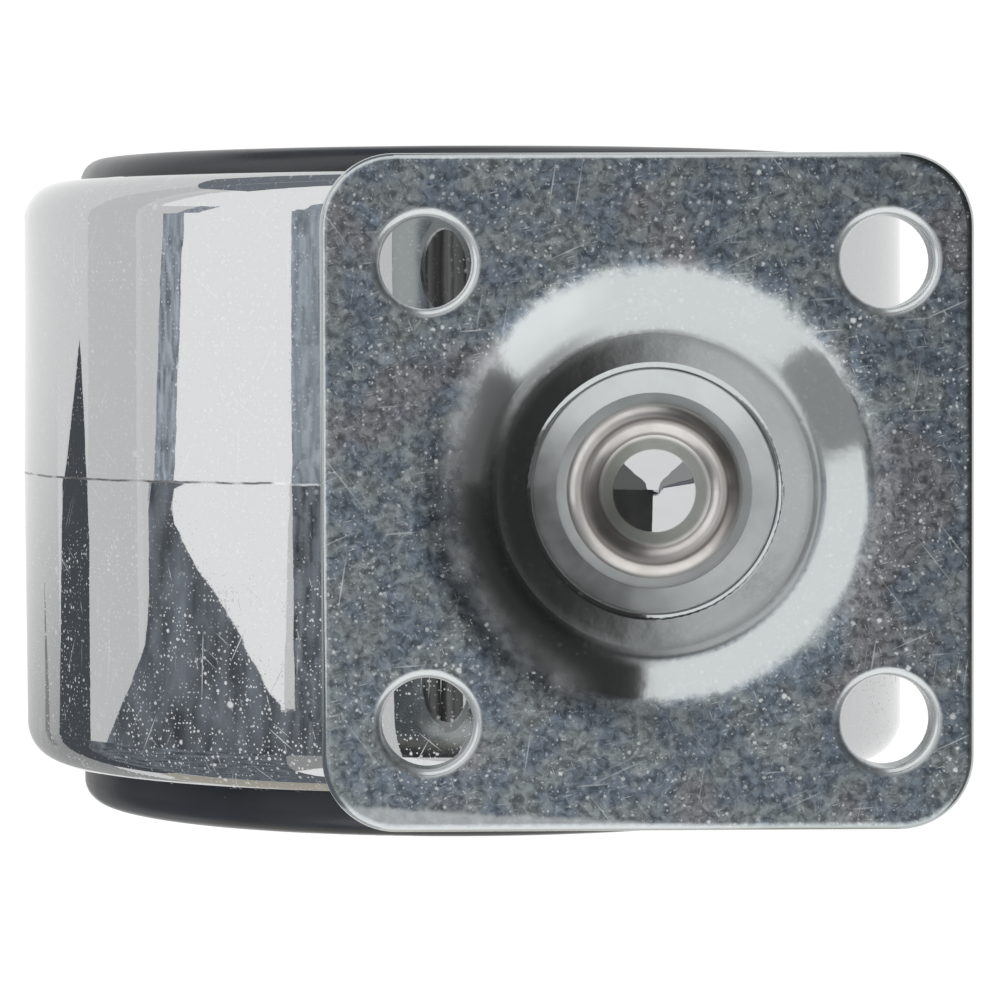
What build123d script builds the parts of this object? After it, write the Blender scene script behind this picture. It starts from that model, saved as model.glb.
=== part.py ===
from build123d import *
import math
import os

os.makedirs("parts", exist_ok=True)

# Twin wheel castor, in millimetres. The origin is on the swivel axis, in the plate's mounting face.
# +Z points out of that face, +Y runs along the axle and -X is the side where the wheels trail.

# Mounting plate, a pressed steel sheet
plate_width = 36.9
plate_length = 38.3
plate_setback = 0.5
plate_thickness = 2.5
plate_corner_radius = 4.2
plate_edge_radius = 0.5
hole_margin_x = 4.95
hole_margin_y = 6.15
hole_diameter = 5.2
hole_rim_radius = 0.5
dish_slope_width = 3.3
dish_depth = 1.9
dish_mouth_bend = 4.0
dish_floor_bend = 1.8
dish_land_width = 2.5
dish_land_drop = 0.22
pocket_step = 0.55
pocket_edge_radius = 0.5
pocket_cone_width = 1.3
pocket_cone_drop = 0.3
pocket_depth = 1.1
well_radius = 5.6

# Stem, turned and riveted over inside the dish
rivet_clearance = 0.6
rivet_height = 1.2
rivet_round = 0.45
bowl_radius = 3.2
bowl_drop = 0.4
dimple_radius = 2.35
dimple_angle = 118.0
shank_radius = 4.0
collar_radius = 6.8
collar_height = 1.6
journal_radius = 5.5
stem_chamfer = 0.8
ring_groove_depth = 0.9

# Swivel bearing in the hood's neck
thrust_washer_height = 0.8
thrust_washer_radius = 8.0
bush_wall = 0.85
bush_length = 16.0
bush_flange_radius = 8.0
bush_flange_height = 1.0
snap_ring_height = 1.2
snap_ring_width = 1.8
snap_ring_split = 2.5
neck_wall = 2.0
neck_root_radius = 2.5

# Hood, one casting with a drum over the wheels and a web between them
trail = 10.5
hood_drop = 11.7
hood_wall = 2.4
hood_edge_radius = 2.5
hood_draft = 0.12
hood_skirt_drop = 9.0
web_thickness = 4.0
web_rib_height = 1.6
web_rib_width = 2.4
web_rib_angles = (90, 135, 180)
axle_boss_wall = 3.0

# Wheels, moulded with a hub, a web and stiffening ribs
wheel_radius = 25.0
wheel_width = 11.5
wheel_gap = 1.4
wheel_overhang = 2.17
wheel_edge_radius = 1.5
wheel_inner_edge_radius = 0.6
wheel_rim_wall = 3.0
wheel_web_thickness = 2.0
wheel_hub_wall = 3.5
wheel_hub_step = 0.6
wheel_rib_count = 8
wheel_rib_thickness = 1.6

# Caps that close the wheels' outer faces
cap_margin = 3.6
cap_thickness = 1.4
cap_recess = 0.5
cap_dome = 0.35
cap_skirt_length = 2.4
cap_skirt_wall = 1.2

# Axle and what holds the wheels on it
axle_radius = 3.0
axle_washer_width = 3.0
axle_washer_height = 0.5
clip_width = 3.2
clip_height = 0.8
clip_cone = 0.5
clip_land = 1.0
axle_end = 1.2
axle_chamfer = 0.4

# Clearances
fit_clearance = 0.02
running_clearance = 0.05
axial_clearance = 0.15
ring_clearance = 0.3
stem_end_room = 1.0
axle_end_room = 0.4
wheel_side_gap = 0.4
wheel_float = 0.65
size_match = 0.001

# Places of the bolt holes, level with the swivel axis
hole_spacing_x = plate_width - 2 * (hole_margin_x + plate_setback)
hole_spacing_y = plate_length - 2 * hole_margin_y

# Radii of the dish, the rivet and the swivel bearing
pocket_radius = well_radius + pocket_cone_width
dish_floor_radius = pocket_radius + dish_land_width
dish_mouth_radius = dish_floor_radius + dish_slope_width
rivet_radius = well_radius - rivet_clearance
bush_inner_radius = journal_radius + running_clearance
bush_outer_radius = bush_inner_radius + bush_wall
socket_radius = bush_outer_radius + fit_clearance
neck_radius = socket_radius + neck_wall
groove_radius = journal_radius - ring_groove_depth
ring_inner_radius = groove_radius + fit_clearance
ring_outer_radius = ring_inner_radius + snap_ring_width
ring_room_radius = ring_outer_radius + ring_clearance

# Radii about the axle
hood_inner_radius = wheel_radius + wheel_gap
hood_outer_radius = hood_inner_radius + hood_wall
axle_boss_radius = axle_radius + fit_clearance + axle_boss_wall
axle_washer_radius = axle_radius + axle_washer_width
clip_radius = axle_radius + clip_width
hub_bore_radius = axle_radius + running_clearance
hub_radius = hub_bore_radius + wheel_hub_wall
rim_inside_radius = wheel_radius - wheel_rim_wall
cap_radius = wheel_radius - cap_margin
skirt_outer_radius = cap_radius - cap_skirt_wall
skirt_inner_radius = skirt_outer_radius - cap_skirt_wall

# Levels below the mounting face
dish_floor_z = -dish_depth
land_inner_z = dish_floor_z - dish_land_drop
pocket_cone_z = land_inner_z - pocket_step
pocket_floor_z = land_inner_z - pocket_depth
plate_seat_z = dish_floor_z - plate_thickness
collar_base_z = plate_seat_z - collar_height
thrust_base_z = collar_base_z - thrust_washer_height
flange_top_z = thrust_base_z - running_clearance
neck_top_z = flange_top_z - bush_flange_height
bush_base_z = neck_top_z - bush_length
ring_top_z = bush_base_z - ring_clearance
ring_base_z = ring_top_z - snap_ring_height
ring_room_z = ring_base_z - ring_clearance
axle_z = -(plate_thickness + hood_drop + hood_outer_radius)
neck_base_z = axle_z + axle_radius
socket_base_z = neck_base_z + neck_wall
stem_end_z = socket_base_z + stem_end_room
skirt_z = axle_z - hood_skirt_drop

# Axle's place
axle_x = -trail
axle_axis = Axis((axle_x, 0, axle_z), (0, 1, 0))
axle_plane = Plane(origin=(axle_x, 0, axle_z), x_dir=(1, 0, 0), z_dir=(0, 0, 1))

# Stations along the axle, for a wheel that stands midway in its end float
rim_inner_y = neck_radius + wheel_side_gap + wheel_float
rim_outer_y = rim_inner_y + wheel_width
hood_half_width = rim_outer_y - wheel_overhang
cap_seat_y = rim_outer_y - cap_recess - cap_thickness
cap_face_y = rim_outer_y - cap_recess
axle_end_y = cap_seat_y - wheel_float - axle_end_room
clip_face_y = axle_end_y - axle_end - clip_cone
clip_inner_y = clip_face_y - clip_height
hub_outer_y = clip_inner_y - axial_clearance - wheel_float
hub_inner_y = rim_inner_y - wheel_hub_step
wheel_web_y = hub_outer_y - wheel_web_thickness
washer_outer_y = hub_inner_y - wheel_float - axial_clearance
axle_boss_y = washer_outer_y - axle_washer_height

# The wheels lie at one end of their float, towards -Y
sides = {"left": 1, "right": -1}
float_shift = -wheel_float


def circles(builder, radius):
    """Round edges of one radius."""
    rings = builder.edges().filter_by(GeomType.CIRCLE)
    return rings.filter_by(lambda edge: abs(edge.radius - radius) < size_match)


def turned(points, side, shift=0.0):
    """Revolves a section about the axle; a point is a radius and a station, mirrored for -Y."""
    with BuildSketch(axle_plane) as section:
        with BuildLine():
            Polyline(*[(radius, side * y + shift) for radius, y in points], close=True)
        make_face()
    revolve(section.sketch, axis=axle_axis)


with BuildPart() as top_plate:
    dish_angle = math.atan2(dish_depth, dish_slope_width)
    under_offset = plate_thickness * math.tan(dish_angle / 2)
    with BuildSketch(Plane.XY):
        with Locations((-plate_setback, 0)):
            RectangleRounded(plate_width, plate_length, plate_corner_radius)
    extrude(amount=-plate_thickness)
    # The dish keeps the sheet's thickness, so it stands out below the plate
    with BuildSketch(Plane.XZ):
        with BuildLine():
            Polyline(
                (0, -plate_thickness),
                (dish_mouth_radius + under_offset, -plate_thickness),
                (dish_floor_radius + under_offset, plate_seat_z),
                (0, plate_seat_z),
                close=True,
            )
        make_face()
    revolve(axis=Axis.Z)
    with BuildSketch(Plane.XZ):
        with BuildLine():
            Polyline(
                (0, 0),
                (dish_mouth_radius, 0),
                (dish_floor_radius, dish_floor_z),
                (pocket_radius, land_inner_z),
                (pocket_radius, pocket_cone_z),
                (well_radius, pocket_cone_z - pocket_cone_drop),
                (well_radius, pocket_floor_z),
                (0, pocket_floor_z),
                close=True,
            )
        make_face()
    revolve(axis=Axis.Z, mode=Mode.SUBTRACT)
    for radius, bend in ((dish_mouth_radius, dish_mouth_bend), (dish_floor_radius, dish_floor_bend)):
        fillet(circles(top_plate, radius) + circles(top_plate, radius + under_offset), bend)
    fillet(circles(top_plate, pocket_radius).sort_by(Axis.Z)[-1], pocket_edge_radius)
    # Rivet hole and bolt holes
    with Locations((0, 0, pocket_floor_z)):
        Hole(shank_radius + fit_clearance)
    with GridLocations(hole_spacing_x, hole_spacing_y, 2, 2):
        Hole(hole_diameter / 2)
    fillet(circles(top_plate, hole_diameter / 2).group_by(Axis.Z)[-1], hole_rim_radius)
    outline = top_plate.faces().sort_by(Axis.Z)[-1].outer_wire()
    fillet(outline.edges(), plate_edge_radius)
top_plate.part.label = "top_plate"
export_step(top_plate.part, "parts/top_plate.step")

with BuildPart() as stem:
    crest_z = pocket_floor_z + rivet_height
    crest_radius = (bowl_radius + rivet_radius) / 2
    shoulder_z = crest_z - rivet_round
    dimple_rim_z = shoulder_z - bowl_drop
    dimple_apex_z = dimple_rim_z - dimple_radius / math.tan(math.radians(dimple_angle / 2))
    with BuildSketch(Plane.XZ):
        with BuildLine():
            Polyline((0, dimple_apex_z), (dimple_radius, dimple_rim_z), (bowl_radius, shoulder_z))
            ThreePointArc((bowl_radius, shoulder_z), (crest_radius, crest_z), (rivet_radius, shoulder_z))
            Polyline(
                (rivet_radius, shoulder_z),
                (rivet_radius, pocket_floor_z),
                (shank_radius, pocket_floor_z),
                (shank_radius, plate_seat_z),
                (collar_radius, plate_seat_z),
                (collar_radius, collar_base_z),
                (journal_radius, collar_base_z),
                (journal_radius, ring_top_z + fit_clearance),
                (groove_radius, ring_top_z + fit_clearance),
                (groove_radius, ring_base_z - fit_clearance),
                (journal_radius, ring_base_z - fit_clearance),
                (journal_radius, stem_end_z + stem_chamfer),
                (journal_radius - stem_chamfer, stem_end_z),
                (0, stem_end_z),
                (0, dimple_apex_z),
            )
        make_face()
    revolve(axis=Axis.Z)
stem.part.label = "stem"
export_step(stem.part, "parts/stem.step")

with BuildPart() as thrust_washer:
    with BuildSketch(Plane.XY.offset(thrust_base_z)):
        Circle(thrust_washer_radius)
        Circle(bush_inner_radius, mode=Mode.SUBTRACT)
    extrude(amount=thrust_washer_height)
thrust_washer.part.label = "thrust_washer"
export_step(thrust_washer.part, "parts/thrust_washer.step")

with BuildPart() as swivel_bush:
    with BuildSketch(Plane.XY.offset(neck_top_z)):
        Circle(bush_flange_radius)
    extrude(amount=bush_flange_height)
    with BuildSketch(Plane.XY.offset(bush_base_z)):
        Circle(bush_outer_radius)
    extrude(amount=bush_length)
    with Locations((0, 0, flange_top_z)):
        Hole(bush_inner_radius)
swivel_bush.part.label = "swivel_bush"
export_step(swivel_bush.part, "parts/swivel_bush.step")

with BuildPart() as stem_ring:
    with BuildSketch(Plane.XY.offset(ring_base_z)):
        Circle(ring_outer_radius)
        Circle(ring_inner_radius, mode=Mode.SUBTRACT)
        with Locations((ring_outer_radius, 0)):
            Rectangle(2 * ring_outer_radius, snap_ring_split, mode=Mode.SUBTRACT)
    extrude(amount=snap_ring_height)
stem_ring.part.label = "stem_ring"
export_step(stem_ring.part, "parts/stem_ring.step")

with BuildPart() as hood:
    # Half of the drum, drafted from the parting plane towards its open end
    with BuildSketch(axle_plane):
        with BuildLine():
            Polyline(
                (0, 0),
                (hood_outer_radius, 0),
                (hood_outer_radius - hood_draft, hood_half_width),
                (0, hood_half_width),
                close=True,
            )
        make_face()
    revolve(axis=axle_axis)
    fillet(hood.edges().filter_by(GeomType.CIRCLE).sort_by(Axis.Y)[-1], hood_edge_radius)
    # Half of the neck, rounded into the drum
    with BuildSketch(Plane.XY.offset(neck_top_z)):
        Circle(neck_radius)
        split(bisect_by=Plane.XZ, keep=Keep.BOTTOM)
    extrude(amount=axle_z - neck_top_z)
    neck_root = hood.edges().filter_by(lambda edge: edge.geom_type not in (GeomType.CIRCLE, GeomType.LINE))
    fillet(neck_root, neck_root_radius)
    # Wheel bay beside the web, and the same again on the other side
    with BuildSketch(Plane.XZ.offset(-web_thickness / 2)):
        with Locations((axle_x, axle_z)):
            Circle(hood_inner_radius)
    extrude(amount=-rim_outer_y, mode=Mode.SUBTRACT)
    mirror(about=Plane.XZ)
    # Open underside, for the wheels to reach the floor
    with BuildSketch(Plane.XY.offset(skirt_z)):
        with Locations((axle_x, 0)):
            Rectangle(2 * hood_outer_radius, 2 * rim_outer_y)
    extrude(amount=-hood_outer_radius, mode=Mode.SUBTRACT)
    # Neck down to the axle, axle boss, and ribs from the boss to the drum on both faces of the web
    with BuildSketch(Plane.XY.offset(neck_top_z)):
        Circle(neck_radius)
    extrude(amount=neck_base_z - neck_top_z)
    with BuildSketch(Plane.XZ):
        with Locations((axle_x, axle_z)):
            Circle(axle_boss_radius)
    extrude(amount=axle_boss_y, both=True)
    with BuildSketch(Plane.XZ):
        with Locations((axle_x, axle_z)):
            for angle in web_rib_angles:
                with Locations(Rotation(0, 0, angle)):
                    with Locations((hood_inner_radius / 2, 0)):
                        Rectangle(hood_inner_radius + hood_wall / 2, web_rib_width)
    extrude(amount=web_thickness / 2 + web_rib_height, both=True)
    # Socket for the bush, the snap ring and the stem's end
    with BuildSketch(Plane.XZ):
        with BuildLine():
            Polyline(
                (0, neck_top_z),
                (socket_radius, neck_top_z),
                (socket_radius, bush_base_z),
                (ring_room_radius, bush_base_z),
                (ring_room_radius, ring_room_z),
                (bush_inner_radius, ring_room_z),
                (bush_inner_radius, socket_base_z),
                (0, socket_base_z),
                close=True,
            )
        make_face()
    revolve(axis=Axis.Z, mode=Mode.SUBTRACT)
    # Bore for the axle
    with BuildSketch(Plane.XZ):
        with Locations((axle_x, axle_z)):
            Circle(axle_radius + fit_clearance)
    extrude(amount=axle_boss_y, both=True, mode=Mode.SUBTRACT)
hood.part.label = "hood"
export_step(hood.part, "parts/hood.step")

with BuildPart() as axle:
    with BuildSketch(Plane.XZ):
        with Locations((axle_x, axle_z)):
            Circle(axle_radius)
    extrude(amount=axle_end_y, both=True)
    chamfer(circles(axle, axle_radius), axle_chamfer)
axle.part.label = "axle"
export_step(axle.part, "parts/axle.step")

for name, side in sides.items():
    with BuildPart() as axle_washer:
        washer_section = [
            (hub_bore_radius, axle_boss_y),
            (axle_washer_radius, axle_boss_y),
            (axle_washer_radius, washer_outer_y),
            (hub_bore_radius, washer_outer_y),
        ]
        turned(washer_section, side)
    axle_washer.part.label = f"axle_washer_{name}"
    export_step(axle_washer.part, f"parts/axle_washer_{name}.step")

    # Spring clip, coned so that its inner edge bites on the axle
    with BuildPart() as axle_clip:
        clip_section = [
            (axle_radius + fit_clearance, clip_inner_y + clip_cone),
            (axle_radius + clip_land, clip_inner_y + clip_cone),
            (clip_radius - clip_land, clip_inner_y),
            (clip_radius, clip_inner_y),
            (clip_radius, clip_face_y),
            (clip_radius - clip_land, clip_face_y),
            (axle_radius + clip_land, clip_face_y + clip_cone),
            (axle_radius + fit_clearance, clip_face_y + clip_cone),
        ]
        turned(clip_section, side)
    axle_clip.part.label = f"axle_clip_{name}"
    export_step(axle_clip.part, f"parts/axle_clip_{name}.step")

    with BuildPart() as wheel:
        wheel_section = [
            (hub_bore_radius, hub_inner_y),
            (hub_radius, hub_inner_y),
            (hub_radius, wheel_web_y),
            (rim_inside_radius, wheel_web_y),
            (rim_inside_radius, rim_inner_y),
            (wheel_radius, rim_inner_y),
            (wheel_radius, rim_outer_y),
            (cap_radius + fit_clearance, rim_outer_y),
            (cap_radius + fit_clearance, cap_seat_y),
            (skirt_outer_radius + fit_clearance, cap_seat_y),
            (skirt_outer_radius + fit_clearance, hub_outer_y),
            (hub_bore_radius, hub_outer_y),
        ]
        turned(wheel_section, side, float_shift)
        tread_edges = circles(wheel, wheel_radius).sort_by(Axis.Y, reverse=side < 0)
        fillet(tread_edges[-1], wheel_edge_radius)
        tread_edges = circles(wheel, wheel_radius).sort_by(Axis.Y, reverse=side < 0)
        fillet(tread_edges[0], wheel_inner_edge_radius)
        # Stiffening ribs on the inner face, from the hub to the rim
        with BuildSketch(Plane.XZ.offset(-side * wheel_web_y - float_shift)):
            with Locations((axle_x, axle_z)):
                with PolarLocations((rim_inside_radius + hub_radius) / 2, wheel_rib_count):
                    Rectangle(rim_inside_radius - hub_radius + hub_bore_radius, wheel_rib_thickness)
        extrude(amount=side * (wheel_web_y - rim_inner_y - wheel_hub_step))
    wheel.part.label = f"wheel_{name}"
    export_step(wheel.part, f"parts/wheel_{name}.step")

    with BuildPart() as wheel_cap:
        cap_section = [
            (0, cap_seat_y),
            (skirt_inner_radius, cap_seat_y),
            (skirt_inner_radius, cap_seat_y - cap_skirt_length),
            (skirt_outer_radius, cap_seat_y - cap_skirt_length),
            (skirt_outer_radius, cap_seat_y),
            (cap_radius, cap_seat_y),
            (cap_radius, cap_face_y),
            (cap_radius / 2, cap_face_y + cap_dome),
            (0, cap_face_y + cap_dome),
        ]
        turned(cap_section, side, float_shift)
    wheel_cap.part.label = f"wheel_cap_{name}"
    export_step(wheel_cap.part, f"parts/wheel_cap_{name}.step")
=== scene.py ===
import math

import bpy
from mathutils import Matrix, Vector

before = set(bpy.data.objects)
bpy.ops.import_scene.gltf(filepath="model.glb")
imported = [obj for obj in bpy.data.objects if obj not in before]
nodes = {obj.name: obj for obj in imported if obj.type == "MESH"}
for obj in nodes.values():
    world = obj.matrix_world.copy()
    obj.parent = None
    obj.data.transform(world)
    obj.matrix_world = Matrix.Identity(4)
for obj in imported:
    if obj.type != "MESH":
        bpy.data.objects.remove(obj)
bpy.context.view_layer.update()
scene = bpy.context.scene
scene.view_settings.view_transform = "Standard"

MM = 0.001

# Places in the row frame, in metres
floor_z = -68 * MM
axle_x = -10.5 * MM
axle_z = -43 * MM
drum_radius = 28.8 * MM
hole_place = 13 * MM
plate_middle = -0.5 * MM
plate_half_width = 18.45 * MM
plate_half_length = 19.15 * MM
plate_corner = 4.2 * MM
dish_floor_radius = 7 * MM
dish_bend_radius = 9.3 * MM
dimple_radius = 2.36 * MM
tool_line_radius = 4.15 * MM

# Camera: nearly straight down onto the plate, from about a quarter of a metre
image_width = 1000
pixels_per_mm = 17.75
swivel_pixel = (657.0, 492.8)
camera_distance = 250 * MM
tilt_x, tilt_y, tilt_z = [math.radians(angle) for angle in (2.3, 1.0, 0.25)]

turn = Matrix.Rotation(tilt_z, 3, "Z") @ Matrix.Rotation(tilt_y, 3, "Y")
turn = turn @ Matrix.Rotation(tilt_x, 3, "X")
turn_back = turn.transposed()
shift_x = (image_width / 2 - swivel_pixel[0]) / pixels_per_mm * MM
shift_y = (swivel_pixel[1] - image_width / 2) / pixels_per_mm * MM
camera_data = bpy.data.cameras.new("camera")
camera = bpy.data.objects.new("camera", camera_data)
scene.collection.objects.link(camera)
camera_data.sensor_width = 36
camera_data.lens = pixels_per_mm * camera_distance / MM / image_width * camera_data.sensor_width
camera_data.clip_start = 0.01
camera_data.clip_end = 20
camera_place = turn_back @ Vector((shift_x, shift_y, camera_distance))
camera.matrix_world = Matrix.Translation(camera_place) @ turn_back.to_4x4()
scene.camera = camera


class Surface:
    """One material's node tree, with short calls for the nodes that it uses."""

    def __init__(self, name):
        self.material = bpy.data.materials.new(name)
        self.material.use_nodes = True
        self.nodes = self.material.node_tree.nodes
        self.links = self.material.node_tree.links
        self.shader = self.nodes["Principled BSDF"]
        places = self.nodes.new("ShaderNodeTexCoord")
        self.point = places.outputs["Object"]
        self.facing = places.outputs["Normal"]
        self.x, self.y, self.z = self.parts(self.point)

    def put(self, socket, value):
        if isinstance(value, bpy.types.NodeSocket):
            self.links.new(value, socket)
        else:
            socket.default_value = value

    def set(self, **values):
        for name, value in values.items():
            self.put(self.shader.inputs[name.replace("_", " ")], value)

    def parts(self, vector):
        node = self.nodes.new("ShaderNodeSeparateXYZ")
        self.put(node.inputs[0], vector)
        return node.outputs

    def math(self, operation, *values):
        node = self.nodes.new("ShaderNodeMath")
        node.operation = operation
        for socket, value in zip(node.inputs, values):
            self.put(socket, value)
        return node.outputs[0]

    def chain(self, operation, values):
        """Applies an operation with two inputs to all the values, one after another."""
        result = values[0]
        for value in values[1:]:
            result = self.math(operation, result, value)
        return result

    def plus(self, *values):
        return self.chain("ADD", values)

    def times(self, *values):
        return self.chain("MULTIPLY", values)

    def most(self, *values):
        return self.chain("MAXIMUM", values)

    def minus(self, first, second):
        return self.math("SUBTRACT", first, second)

    def without(self, share):
        """What a share from 0 to 1 leaves over."""
        return self.minus(1.0, share)

    def apart(self, first, second):
        return self.math("ABSOLUTE", self.minus(first, second))

    def reach(self, *values):
        """Distance from zero of a place with these coordinates."""
        return self.math("SQRT", self.plus(*[self.times(value, value) for value in values]))

    def beyond(self, value, middle, limit):
        """How far a coordinate lies past a limit to either side of the middle, or else 0."""
        return self.most(self.minus(self.apart(value, middle), limit), 0.0)

    def vector(self, x=0.0, y=0.0, z=0.0):
        node = self.nodes.new("ShaderNodeCombineXYZ")
        for socket, value in zip(node.inputs, (x, y, z)):
            self.put(socket, value)
        return node.outputs[0]

    def placed(self, vector, angle, size):
        """Turns a place in its plane by an angle in degrees, then measures it in the given sizes."""
        node = self.nodes.new("ShaderNodeMapping")
        node.vector_type = "TEXTURE"
        self.put(node.inputs["Vector"], vector)
        node.inputs["Rotation"].default_value = (0, 0, math.radians(angle))
        node.inputs["Scale"].default_value = size
        return node.outputs[0]

    def noise(self, size, vector=None, detail=3.0, rough=0.5, distortion=0.0):
        node = self.nodes.new("ShaderNodeTexNoise")
        self.put(node.inputs["Vector"], vector or self.point)
        node.inputs["Scale"].default_value = 1 / size
        node.inputs["Detail"].default_value = detail
        node.inputs["Roughness"].default_value = rough
        node.inputs["Distortion"].default_value = distortion
        return node.outputs[0]

    def ragged(self, size, amount, vector=None):
        """A place on the object, shifted to and fro by a noise, so that marks get a ragged shape."""
        node = self.nodes.new("ShaderNodeTexNoise")
        self.put(node.inputs["Vector"], self.point)
        node.inputs["Scale"].default_value = 1 / size
        node.inputs["Detail"].default_value = 2.0
        shift = self.nodes.new("ShaderNodeVectorMath")
        shift.operation = "MULTIPLY_ADD"
        self.put(shift.inputs[0], node.outputs["Color"])
        shift.inputs[1].default_value = (amount, amount, amount)
        self.put(shift.inputs[2], vector or self.point)
        return shift.outputs[0]

    def ramp(self, value, low, high, to_low=0.0, to_high=1.0):
        node = self.nodes.new("ShaderNodeMapRange")
        node.interpolation_type = "SMOOTHSTEP"
        for socket, number in zip(node.inputs, (value, low, high, to_low, to_high)):
            self.put(socket, number)
        return node.outputs[0]

    def spots(self, vector, size, radius, share, flat=True):
        """Small spots, one in some of the cells of the given size, in a plane or in space."""
        node = self.nodes.new("ShaderNodeTexVoronoi")
        if flat:
            node.voronoi_dimensions = "2D"
        self.put(node.inputs["Vector"], vector)
        node.inputs["Scale"].default_value = 1 / size
        chance = self.nodes.new("ShaderNodeSeparateColor")
        self.put(chance.inputs[0], node.outputs["Color"])
        spread = self.times(chance.outputs[1], radius / size)
        dot = self.ramp(self.minus(node.outputs["Distance"], spread), 0.0, -0.6 * radius / size)
        kept = self.math("LESS_THAN", chance.outputs[0], share)
        return self.times(dot, kept)

    def scratches(self, vector, angle, length, width, share):
        """Fine straight scratches in one direction."""
        return self.spots(self.placed(vector, angle, (length, width, 1.0)), 1.0, 0.25, share)

    def mix(self, amount, first, second):
        node = self.nodes.new("ShaderNodeMix")
        node.data_type = "RGBA"
        self.put(node.inputs[0], amount)
        for socket, value in ((node.inputs[6], first), (node.inputs[7], second)):
            self.put(socket, value if isinstance(value, bpy.types.NodeSocket) else (*value, 1.0))
        return node.outputs[2]

    def shaded(self, colour, amount):
        """The colour, made darker or lighter by a factor."""
        node = self.nodes.new("ShaderNodeVectorMath")
        node.operation = "SCALE"
        self.put(node.inputs[0], colour)
        self.put(node.inputs["Scale"], amount)
        return node.outputs[0]

    def bump(self, height, depth, normal=None):
        node = self.nodes.new("ShaderNodeBump")
        node.inputs["Strength"].default_value = 1.0
        node.inputs["Distance"].default_value = depth
        self.put(node.inputs["Height"], height)
        if normal:
            self.put(node.inputs["Normal"], normal)
        return node.outputs[0]


def hole_rims(s):
    """The rounded rims of the plate's holes, split for painted highlights: the part that faces the light
    and the part turned away from it.
    """
    rim_start = 2.95 * MM
    rim_end = 3.2 * MM
    from_x, from_y = [s.minus(place, s.times(s.math("SIGN", place), hole_place)) for place in (s.x, s.y)]
    rim = s.ramp(s.reach(from_x, from_y), rim_end, rim_start)
    lean = s.plus(s.times(from_x, 0.85), s.times(from_y, 0.5))
    highlit_part = s.times(rim, s.ramp(lean, -2.5 * MM, -1.3 * MM))
    return highlit_part, s.minus(rim, highlit_part)


def worn_face(s, painted_highlight_rim, underside):
    """The worn upper face of the plate, which ends raggedly at the dish and just inside the edges."""
    worn_middle_y = 0.4 * MM
    wear_start = 12.4 * MM
    wear_full = 13.5 * MM
    radius = s.plus(
        s.reach(s.x, s.minus(s.y, worn_middle_y)),
        s.ramp(s.x, -6 * MM, -11 * MM, 0.0, 1.2 * MM),
        s.times(s.noise(1.0 * MM, detail=4.0), 1.2 * MM),
    )
    past_x = s.beyond(s.x, plate_middle, plate_half_width - plate_corner)
    past_y = s.beyond(s.y, 0.0, plate_half_length - plate_corner)
    inside_edge = s.ramp(s.reach(past_x, past_y), plate_corner - 0.15 * MM, plate_corner - 0.5 * MM)
    worn = s.ramp(radius, wear_start, wear_full)
    return s.times(worn, s.without(painted_highlight_rim), s.without(underside), inside_edge)


def zinc_tint(s, cloud, face, underside):
    """Bluish and greyish clouds on the worn face, and cleaner zinc elsewhere."""
    blue = (0.201, 0.243, 0.293)
    grey = (0.258, 0.288, 0.299)
    brown = (0.25, 0.252, 0.27)
    dish = (0.43, 0.455, 0.455)
    clean = (0.80, 0.85, 0.83)
    patch = s.noise(9 * MM, detail=2.0)
    clouded = s.mix(s.ramp(cloud, 0.4, 0.6), blue, grey)
    clouded = s.mix(s.ramp(patch, 0.52, 0.62), clouded, brown)
    return s.mix(underside, s.mix(face, dish, clouded), clean)


def zinc_marks(s, face):
    """Light specks, scratches and smears, most of them on the worn face."""
    place = s.vector(s.x, s.y)
    scratches = s.most(
        s.scratches(place, angle=24, length=9 * MM, width=0.25 * MM, share=0.12),
        s.scratches(place, angle=-52, length=12 * MM, width=0.25 * MM, share=0.1),
        s.scratches(place, angle=81, length=8 * MM, width=0.25 * MM, share=0.1),
        s.scratches(place, angle=4, length=5 * MM, width=0.3 * MM, share=0.1),
        s.scratches(place, angle=15, length=1.6 * MM, width=0.16 * MM, share=0.25),
        s.scratches(place, angle=-70, length=1.4 * MM, width=0.16 * MM, share=0.2),
    )
    ragged = s.ragged(size=0.2 * MM, amount=0.25 * MM)
    specks = s.most(
        s.spots(ragged, size=1.4 * MM, radius=0.24 * MM, share=0.25),
        s.times(s.spots(ragged, size=0.5 * MM, radius=0.15 * MM, share=0.4), 0.8),
        s.times(s.spots(ragged, size=0.27 * MM, radius=0.09 * MM, share=0.6), 0.7),
    )
    smear = s.ramp(s.noise(0.8 * MM, detail=5.0, rough=0.6, distortion=1.5), 0.52, 0.7)
    crowded = s.ramp(s.noise(5 * MM, detail=2.0), 0.35, 0.62, 0.45, 1.0)
    on_face = s.ramp(face, 0.0, 1.0, 0.2, 1.0)
    return s.times(s.most(specks, s.times(scratches, 0.55), s.times(smear, 0.3)), s.times(crowded, on_face))


def painted_edge_highlight(s):
    """A painted highlight: the light band along the plate's rolled edge at -Y, where the edge catches the
    light.
    """
    slant = 0.063
    waver = s.times(s.noise(1.2 * MM), 0.5 * MM)
    return s.ramp(s.plus(s.y, s.times(s.x, slant), waver), -18.3 * MM, -18.65 * MM)


def dish_haze(s, radius, floor, left, cloud):
    """Cloudy haze on the dish's slope towards -X and on its floor."""
    slope = s.times(
        s.ramp(radius, 9.8 * MM, 12.0 * MM, 0.0, 0.36),
        s.ramp(radius, 12.9 * MM, 11.9 * MM),
        left,
    )
    return s.times(s.most(slope, s.times(floor, 0.3)), s.ramp(cloud, 0.35, 0.65, 0.7, 1.3))


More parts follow.
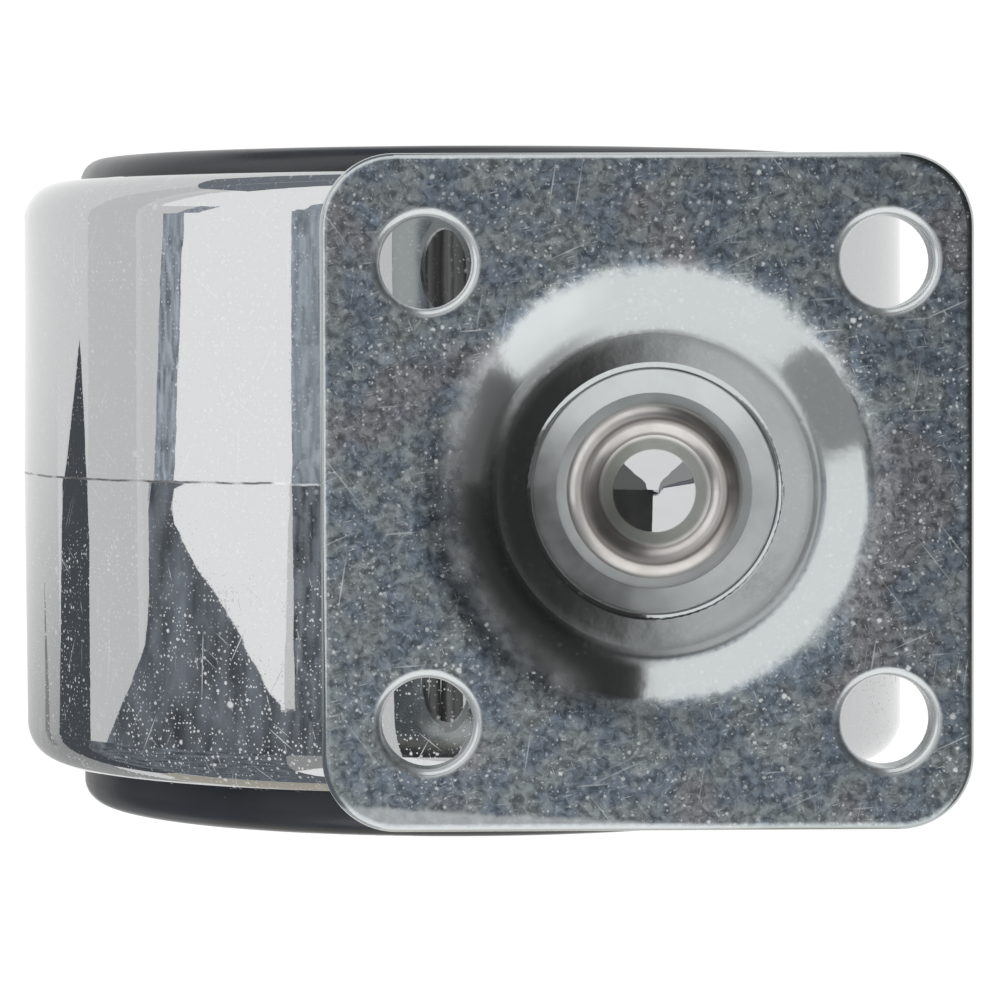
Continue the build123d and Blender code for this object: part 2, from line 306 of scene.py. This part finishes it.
def zinc():
    """Bright zinc plating: cloudy, speckled and scratched on the flat, smooth in the pressed dish."""
    scuffed = (0.84, 0.87, 0.88)
    smooth_roughness = 0.115
    dull_roughness = 0.38
    s = Surface("bright_zinc")
    radius = s.reach(s.x, s.y)
    underside = s.ramp(s.parts(s.facing)[2], -0.4, -0.6)
    painted_highlight_rim, painted_dim_rim = hole_rims(s)
    face = worn_face(s, painted_highlight_rim, underside)
    floor = s.ramp(radius, dish_floor_radius + 0.15 * MM, dish_floor_radius - 0.15 * MM)
    bend = s.ramp(s.apart(radius, dish_bend_radius), 0.9 * MM, 0.2 * MM)
    left = s.ramp(s.x, -2 * MM, -6 * MM)
    cloud = s.noise(2.2 * MM, detail=4.0)
    grain = s.noise(0.55 * MM, detail=4.0, rough=0.65, distortion=0.6)
    mottled = s.plus(s.times(s.ramp(grain, 0.3, 0.7, -0.5, 0.5), face), 1.0)
    # Painted shade: the dish's bend is darkened towards -X, to dim its highlight there.
    painted_bend_shade = s.times(bend, left, 0.5)
    tint = s.shaded(zinc_tint(s, cloud, face, underside), s.minus(mottled, painted_bend_shade))
    # Painted highlights on the hole rims: stronger on the part towards the light, weaker on the rest.
    rims = s.plus(s.times(painted_highlight_rim, 0.5), s.times(painted_dim_rim, 0.3))
    haze = dish_haze(s, radius, floor, left, cloud)
    # Lightening for the real marks and haze, together with the painted highlights of the hole rims and the
    # plate's edge.
    bright = s.most(zinc_marks(s, face), haze, rims, s.times(painted_edge_highlight(s), 0.5))
    dull = s.most(face, s.times(floor, 0.6))
    s.set(
        Base_Color=s.mix(bright, tint, scuffed),
        Metallic=s.ramp(bright, 0.0, 1.0, 1.0, 0.1),
        Roughness=s.plus(
            s.ramp(dull, 0.0, 1.0, smooth_roughness, dull_roughness),
            s.times(s.ramp(cloud, 0.3, 0.7, -0.06, 0.06), face),
            s.times(s.most(bend, painted_highlight_rim), 0.12),
        ),
        Normal=s.bump(s.times(grain, face), 0.012 * MM, s.bump(cloud, 0.012 * MM)),
    )
    return s.material


def chrome_wear(s):
    """Pinholes and scratches on the drum, stronger towards -Y."""
    angle = s.math("ARCTAN2", s.minus(s.x, axle_x), s.minus(s.z, axle_z))
    place = s.vector(s.times(angle, drum_radius), s.y)
    scratches = s.most(
        s.scratches(place, angle=88, length=12 * MM, width=0.25 * MM, share=0.12),
        s.scratches(place, angle=62, length=8 * MM, width=0.25 * MM, share=0.12),
        s.scratches(place, angle=-38, length=7 * MM, width=0.25 * MM, share=0.1),
        s.scratches(place, angle=-75, length=3 * MM, width=0.2 * MM, share=0.15),
    )
    ragged = s.ragged(size=0.2 * MM, amount=0.15 * MM, vector=place)
    pinholes = s.most(
        s.spots(ragged, size=1.9 * MM, radius=0.32 * MM, share=0.2),
        s.spots(ragged, size=0.5 * MM, radius=0.16 * MM, share=0.6),
        s.spots(ragged, size=0.27 * MM, radius=0.1 * MM, share=0.8),
    )
    clustered = s.ramp(s.noise(3.5 * MM, detail=2.0), 0.4, 0.6, 0.35, 1.0)
    handled = s.ramp(s.y, 0 * MM, -7 * MM, 0.4, 1.0)
    return s.times(s.most(s.times(pinholes, clustered), s.times(scratches, 0.6)), handled)


def parting_line(s):
    """The mould's parting line along the middle of the hood, uneven in place and strength."""
    wander = s.times(s.minus(s.noise(2.5 * MM), 0.5), 0.3 * MM)
    line = s.ramp(s.apart(s.y, wander), 0.1 * MM, 0.03 * MM)
    return s.times(line, s.ramp(s.noise(1.3 * MM), 0.35, 0.6, 0.3, 1.0))


def chrome():
    """Mirror chrome on a polished casting, with scratches, pinholes and the mould's parting line."""
    mirror = (0.505, 0.51, 0.515)
    scuffed = (0.81, 0.82, 0.83)
    shaded_line_colour = (0.16, 0.16, 0.165)
    lit_line_colour = (0.9, 0.91, 0.92)
    s = Surface("mirror_chrome")
    worn = chrome_wear(s)
    line = parting_line(s)
    # Painted shade and painted light: the parting line is drawn in a shaded dark copy and a lit light copy,
    # which meet near x = -22 mm at the edge of the plate's shadow.
    lit_and_shaded_line = s.mix(s.ramp(s.x, -22.4 * MM, -21.9 * MM), shaded_line_colour, lit_line_colour)
    wave = s.bump(s.noise(5 * MM, detail=2.0), 0.012 * MM)
    s.set(
        Base_Color=s.mix(line, s.mix(worn, mirror, scuffed), lit_and_shaded_line),
        Metallic=s.ramp(worn, 0.0, 1.0, 1.0, 0.05),
        Roughness=s.plus(s.ramp(worn, 0.0, 1.0, 0.02, 0.4), s.times(line, 0.3)),
        Normal=s.bump(s.noise(0.7 * MM), 0.0006 * MM, wave),
    )
    return s.material


def riveted_stem():
    """Turned stem: a polished dimple, a dull slope round it and a burnished rivet rim with tool lines."""
    polished_steel = (0.455, 0.46, 0.465)
    dull_steel = (0.36, 0.37, 0.345)
    burnished_steel = (0.57, 0.552, 0.53)
    stained_steel = (0.53, 0.508, 0.486)
    line_brown = (0.33, 0.30, 0.28)
    s = Surface("turned_stem")
    radius = s.reach(s.x, s.y)
    polished = s.ramp(radius, dimple_radius + 0.06 * MM, dimple_radius - 0.06 * MM)
    rim = s.ramp(radius, 2.9 * MM, 3.2 * MM)
    lines = s.noise(0.3 * MM, s.vector(s.plus(radius, s.z)), rough=0.6)
    stain = s.noise(1.6 * MM)
    tool_line = s.ramp(s.apart(radius, tool_line_radius), 0.14 * MM, 0.04 * MM)
    burnished = s.mix(s.ramp(stain, 0.35, 0.65), burnished_steel, stained_steel)
    burnished = s.mix(tool_line, burnished, line_brown)
    base = s.shaded(s.mix(rim, dull_steel, burnished), s.ramp(lines, 0.3, 0.7, 0.9, 1.06))
    rough = s.plus(s.ramp(rim, 0.0, 1.0, 0.62, 0.3), s.ramp(stain, 0.3, 0.7, -0.04, 0.04))
    turned = s.without(polished)
    s.set(
        Base_Color=s.mix(polished, base, polished_steel),
        Metallic=s.ramp(stain, 0.3, 0.7, 1.0, 0.95),
        Roughness=s.plus(s.times(rough, turned), 0.03),
        Normal=s.bump(s.times(lines, turned), 0.008 * MM),
    )
    return s.material


def turned_axle():
    """Turned steel pin with fine tool lines round it."""
    light_steel = (0.64, 0.60, 0.55)
    stained_steel = (0.58, 0.54, 0.50)
    s = Surface("turned_axle")
    lines = s.noise(0.22 * MM, s.vector(s.y), rough=0.6)
    stain = s.noise(1.6 * MM)
    base = s.mix(s.ramp(stain, 0.35, 0.65), light_steel, stained_steel)
    s.set(
        Base_Color=s.shaded(base, s.ramp(lines, 0.3, 0.7, 0.82, 1.05)),
        Metallic=1.0,
        Roughness=s.ramp(stain, 0.3, 0.7, 0.28, 0.42),
        Normal=s.bump(lines, 0.012 * MM),
    )
    return s.material


def nylon():
    """Glossy moulded nylon, black with a touch of blue, with fine handling marks."""
    black = (0.028, 0.031, 0.038)
    hazy_black = (0.036, 0.039, 0.046)
    dust = (0.2, 0.2, 0.21)
    s = Surface("black_nylon")
    haze = s.noise(6 * MM)
    specks = s.spots(s.point, size=1.6 * MM, radius=0.1 * MM, share=0.12, flat=False)
    base = s.mix(s.ramp(haze, 0.35, 0.65), black, hazy_black)
    s.set(
        Base_Color=s.mix(specks, base, dust),
        Metallic=0.0,
        Roughness=s.ramp(haze, 0.3, 0.7, 0.24, 0.34),
        Normal=s.bump(s.noise(1.1 * MM, detail=2.0), 0.006 * MM),
    )
    return s.material


def acetal():
    """Off-white bearing plastic, slightly waxy."""
    off_white = (0.80, 0.79, 0.74)
    waxy = (0.72, 0.71, 0.66)
    s = Surface("acetal")
    cloud = s.noise(2.5 * MM)
    s.set(
        Base_Color=s.mix(s.ramp(cloud, 0.35, 0.65), off_white, waxy),
        Metallic=0.0,
        Roughness=s.ramp(cloud, 0.3, 0.7, 0.35, 0.5),
        Normal=s.bump(s.noise(0.3 * MM), 0.004 * MM),
    )
    return s.material


def spring_steel():
    """Dark oiled spring steel."""
    bluish = (0.30, 0.31, 0.33)
    brownish = (0.38, 0.36, 0.34)
    s = Surface("spring_steel")
    cloud = s.noise(1.2 * MM, detail=4.0)
    s.set(
        Base_Color=s.mix(s.ramp(cloud, 0.35, 0.65), bluish, brownish),
        Metallic=1.0,
        Roughness=s.ramp(cloud, 0.3, 0.7, 0.28, 0.45),
        Normal=s.bump(cloud, 0.01 * MM),
    )
    return s.material


finishes = [
    (zinc(), ("top_plate", "axle_washer_left", "axle_washer_right")),
    (chrome(), ("hood",)),
    (riveted_stem(), ("stem",)),
    (turned_axle(), ("axle",)),
    (nylon(), ("wheel_left", "wheel_right", "wheel_cap_left", "wheel_cap_right")),
    (acetal(), ("thrust_washer", "swivel_bush")),
    (spring_steel(), ("stem_ring", "axle_clip_left", "axle_clip_right")),
]
for material, names in finishes:
    for name in names:
        slots = nodes[name].data.materials
        slots.clear()
        slots.append(material)


def ray_is_seen(tree):
    """1 for rays that show the background: from the camera, in a mirror or through something clear."""
    path = tree.nodes.new("ShaderNodeLightPath")
    result = path.outputs["Is Camera Ray"]
    for name in ("Is Glossy Ray", "Is Transmission Ray"):
        most = tree.nodes.new("ShaderNodeMath")
        most.operation = "MAXIMUM"
        tree.links.new(result, most.inputs[0])
        tree.links.new(path.outputs[name], most.inputs[1])
        result = most.outputs[0]
    return result


def link_mesh(name, points, faces, material):
    mesh = bpy.data.meshes.new(name)
    mesh.from_pydata(points, [], faces)
    mesh.materials.append(material)
    thing = bpy.data.objects.new(name, mesh)
    scene.collection.objects.link(thing)
    return thing


def floor_material():
    """Pale floor that reads as white and still takes the shadow."""
    grey_level = 0.8
    glow_share = 0.85
    glow_level = 1.14
    material = bpy.data.materials.new("floor")
    material.use_nodes = True
    tree = material.node_tree
    tree.nodes.clear()
    matt = tree.nodes.new("ShaderNodeBsdfDiffuse")
    glow = tree.nodes.new("ShaderNodeEmission")
    mixed = tree.nodes.new("ShaderNodeMixShader")
    out = tree.nodes.new("ShaderNodeOutputMaterial")
    share = tree.nodes.new("ShaderNodeMath")
    share.operation = "MULTIPLY"
    tree.links.new(ray_is_seen(tree), share.inputs[0])
    share.inputs[1].default_value = glow_share
    matt.inputs["Color"].default_value = (grey_level, grey_level, grey_level, 1)
    glow.inputs["Color"].default_value = (1, 1, 1, 1)
    glow.inputs["Strength"].default_value = glow_level
    tree.links.new(share.outputs[0], mixed.inputs[0])
    tree.links.new(matt.outputs[0], mixed.inputs[1])
    tree.links.new(glow.outputs[0], mixed.inputs[2])
    tree.links.new(mixed.outputs[0], out.inputs["Surface"])
    return material


def card_material(name, level, colour):
    material = bpy.data.materials.new(name)
    material.use_nodes = True
    tree = material.node_tree
    tree.nodes.clear()
    glow = tree.nodes.new("ShaderNodeEmission")
    out = tree.nodes.new("ShaderNodeOutputMaterial")
    glow.inputs["Color"].default_value = (*colour, 1)
    glow.inputs["Strength"].default_value = level
    tree.links.new(glow.outputs[0], out.inputs["Surface"])
    return material


def faded_material(name, axis, places, levels, colour):
    """Glow that fades along one axis, between two places in millimetres."""
    material = card_material(name, 1.0, colour)
    tree = material.node_tree
    place = tree.nodes.new("ShaderNodeTexCoord")
    parts = tree.nodes.new("ShaderNodeSeparateXYZ")
    fade = tree.nodes.new("ShaderNodeMapRange")
    fade.interpolation_type = "SMOOTHSTEP"
    for socket, value in zip(list(fade.inputs)[1:5], (*[length * MM for length in places], *levels)):
        socket.default_value = value
    tree.links.new(place.outputs["Object"], parts.inputs[0])
    tree.links.new(parts.outputs[axis], fade.inputs[0])
    tree.links.new(fade.outputs[0], tree.nodes["Emission"].inputs["Strength"])
    return material


def uneven_material(name, size, levels, colour):
    """Glow in cloudy streaks; the size along each axis is in millimetres."""
    noise_limits = (0.3, 0.7)
    material = card_material(name, 1.0, colour)
    tree = material.node_tree
    place = tree.nodes.new("ShaderNodeTexCoord")
    stretch = tree.nodes.new("ShaderNodeMapping")
    stretch.vector_type = "TEXTURE"
    stretch.inputs["Scale"].default_value = [length * MM for length in size]
    noise = tree.nodes.new("ShaderNodeTexNoise")
    noise.inputs["Scale"].default_value = 1.0
    noise.inputs["Detail"].default_value = 4.0
    spread = tree.nodes.new("ShaderNodeMapRange")
    for socket, value in zip(list(spread.inputs)[1:5], (*noise_limits, *levels)):
        socket.default_value = value
    tree.links.new(place.outputs["Object"], stretch.inputs["Vector"])
    tree.links.new(stretch.outputs[0], noise.inputs["Vector"])
    tree.links.new(noise.outputs[0], spread.inputs[0])
    tree.links.new(spread.outputs[0], tree.nodes["Emission"].inputs["Strength"])
    return material


def off_camera(thing):
    """A card lights the object and shows in its gloss, but never stands in the picture."""
    thing.visible_camera = False


def card(name, lower, upper, distance, material):
    """A curved studio card round the object, bright or dark. Its lower and upper edges each have an
    elevation and two azimuths in degrees; azimuth runs from +X to +Y. The distance is in metres."""
    columns = 32
    rows = 16
    points = []
    for i in range(columns + 1):
        for j in range(rows + 1):
            elevation, start, end = [a + (b - a) * j / rows for a, b in zip(lower, upper)]
            azimuth = math.radians(start + (end - start) * i / columns)
            flat = distance * math.cos(math.radians(elevation))
            height = distance * math.sin(math.radians(elevation))
            points.append((flat * math.cos(azimuth), flat * math.sin(azimuth), height))
    step = rows + 1
    faces = [
        (i * step + j, (i + 1) * step + j, (i + 1) * step + j + 1, i * step + j + 1)
        for i in range(columns)
        for j in range(rows)
    ]
    off_camera(link_mesh(name, points, faces, material))


def flat_card(name, corners, material):
    """A flat studio card with its corners in millimetres."""
    points = [[length * MM for length in corner] for corner in corners]
    off_camera(link_mesh(name, points, [range(len(points))], material))


def side_card(name, x, corners, material):
    """A flat card across the X axis; a corner is a place along Y and a height, in millimetres."""
    flat_card(name, [(x, *corner) for corner in corners], material)


def level_card(name, height, corners, material):
    """A level flat card; a corner is a place along X and Y, and all lengths are in millimetres."""
    flat_card(name, [(*corner, height) for corner in corners], material)


def floor_card(name, corners, material, rise=0.5):
    """A level card just above the floor."""
    level_card(name, floor_z / MM + rise, corners, material)


white = (1.0, 1.0, 1.0)
cool = (0.88, 0.98, 1.1)
warm = (1.0, 0.95, 0.82)

# Places of flat cards in millimetres, then distances of curved cards and half the floor's width in metres
left_window_x = -950
left_strip_x = -960
near_flag_x = -100
upper_flag_height = 255
ceiling_light_height = 950
back_flag_distance = 0.3
window_distance = 0.95
wing_distance = 0.98
flag_distance = 1.05
strip_distance = 1.1
ceiling_distance = 1.5
floor_half = 3.0

floor_corners = [(-1, -1), (1, -1), (1, 1), (-1, 1)]
floor_points = [(floor_half * x, floor_half * y, floor_z) for x, y in floor_corners]
link_mesh("floor", floor_points, [(0, 1, 2, 3)], floor_material())

# Left: a window with a slanting lower edge, a grey strip below it and a dark shape near the hood
window = card_material("window", 1.39, white)
left_window_outline = [
    (-34, 142), (16, 178), (43, 203), (300, 400), (300, 1250), (45, 1049), (17, 973), (-30, 942),
    (-128, 845), (-300, 800), (-300, 143),
]
left_strip_outline = [
    (-48, -4), (-32, 28), (12, 61), (41, 86), (300, 280), (300, 420), (43, 230), (-48, 170),
]
near_flag_outline = [
    (-2.4, -17.7), (-2.5, -7.8), (-2.8, 11.5), (-3.3, 2), (-3.9, -7), (-5.5, -9), (-6.7, -7.5),
    (-8.8, -1), (-11, 6), (-12.2, 12.1), (-15, 22), (-17, 29), (-19.3, 36.2), (-22, 46), (-24, 54.2),
    (-25, 76), (-30, 76), (-45, 55), (-150, 30), (-420, 20), (-420, -66), (-32, -66),
    (-26, -53), (-23, -43.6), (-21, -38), (-19, -31.9), (-17, -26), (-15.5, -22.5), (-12, -20.5),
    (-5.5, -20.3),
]
left_strip = uneven_material("left_strip", (1000, 9, 25), (0.2, 0.85), cool)
upper_strip = uneven_material("upper_strip", (200, 9, 25), (0.3, 0.75), cool)
lower_strip = uneven_material("lower_strip", (200, 9, 25), (0.06, 0.4), cool)
near_flag = uneven_material("near_flag", (100, 5, 10), (0.1, 0.36), cool)
side_card("left_window", left_window_x, left_window_outline, window)
side_card("left_strip", left_strip_x, left_strip_outline, left_strip)
side_card("near_flag", near_flag_x, near_flag_outline, near_flag)
card("left_window_wing", (2, 83, 163), (46, 83, 163), wing_distance, window)
card("upper_strip", (44, 85, 183.6), (52, 85, 183.6), strip_distance, upper_strip)
card("lower_strip", (44, 183.6, 240), (52, 183.6, 240), strip_distance, lower_strip)

# Floor: shade under the hood's left side and darker shapes that show in the chrome
far_floor = [(-130, -400), (-130, 400), (-930, 400), (-930, -400)]
floor_card("far_floor", far_floor, card_material("far_floor", 0.93, white), rise=0.2)
floor_shade = faded_material("floor_shade", 1, (-36, 12), (0.45, 1.06), white)
floor_card("floor_shade", [(-42, 12), (-80, 12), (-80, -60), (-42, -60)], floor_shade, rise=0.3)
floor_line = [(-64.5, -9), (-67.5, -18), (-68, -30), (-63.2, -30), (-63.8, -18)]
floor_card("floor_line", floor_line, card_material("floor_line", 0.35, white), rise=0.4)
floor_flag = [
    (-111, 9), (-128, -4), (-126, -120), (-100, -110), (-80, -85), (-74, -60), (-77, -23), (-85, -3),
]
floor_card("floor_flag", floor_flag, card_material("floor_flag", 0.12, cool))
back_floor_flag = [(-52, 80), (0, 80), (-26, 299), (-197, 226)]
floor_card("back_floor_flag", back_floor_flag, card_material("back_floor_flag", 0.3, cool))
back_flag = card_material("back_flag", 0.3, cool)
card("back_flag", (-12.8, 95, 131), (4, 95, 131), back_flag_distance, back_flag)
front_floor = [(-100, -330), (30, -330), (30, -62), (-50, -62), (-62, -75), (-80, -85), (-100, -110)]
floor_card("front_floor", front_floor, card_material("front_floor", 0.6, warm))

# Front, right and above
card("front_window", (4, 236, 308), (48, 226, 330), window_distance, window)
card("front_window_top", (48, 215, 330), (68, 215, 330), window_distance, window)
right_front_flag = card_material("right_front_flag", 0.2, white)
right_flag = card_material("right_flag", 0.06, white)
corner_flag = card_material("corner_flag", 0.5, white)
ceiling = card_material("ceiling", 0.04, white)
card("right_flag", (-3.8, -5, 83), (50, -5, 83), flag_distance, right_flag)
card("right_front_flag", (-3.8, -58, -5), (50, -40, -5), flag_distance, right_front_flag)
card("corner_flag", (-3.8, 196, 237), (50, 196, 237), flag_distance, corner_flag)
card("ceiling", (45, 0, 360), (89.9, 0, 360), ceiling_distance, ceiling)
ceiling_light = faded_material("ceiling_light", 0, (-15, 115), (0.95, 0.04), white)
ceiling_light_outline = [(-600, -400), (140, -400), (140, 500), (-600, 500)]
level_card("ceiling_light", ceiling_light_height, ceiling_light_outline, ceiling_light)
upper_flag = uneven_material("upper_flag", (8, 250, 30), (0.02, 0.22), white)
upper_flag_outline = [
    (-88, -55), (-15, -55), (-15, -31), (-45, -26), (-45, 6), (-14, 11), (-8, 13), (-8, 40), (-88, 40),
]
level_card("upper_flag", upper_flag_height, upper_flag_outline, upper_flag)

# World: white where it is seen, softer as light
light_level = 0.6
seen_level = 1.0
world = bpy.data.worlds.new("world")
scene.world = world
world.use_nodes = True
tree = world.node_tree
background = tree.nodes["Background"]
background.inputs["Color"].default_value = (1, 1, 1, 1)
level = tree.nodes.new("ShaderNodeMapRange")
tree.links.new(ray_is_seen(tree), level.inputs[0])
level.inputs["To Min"].default_value = light_level
level.inputs["To Max"].default_value = seen_level
tree.links.new(level.outputs[0], background.inputs["Strength"])
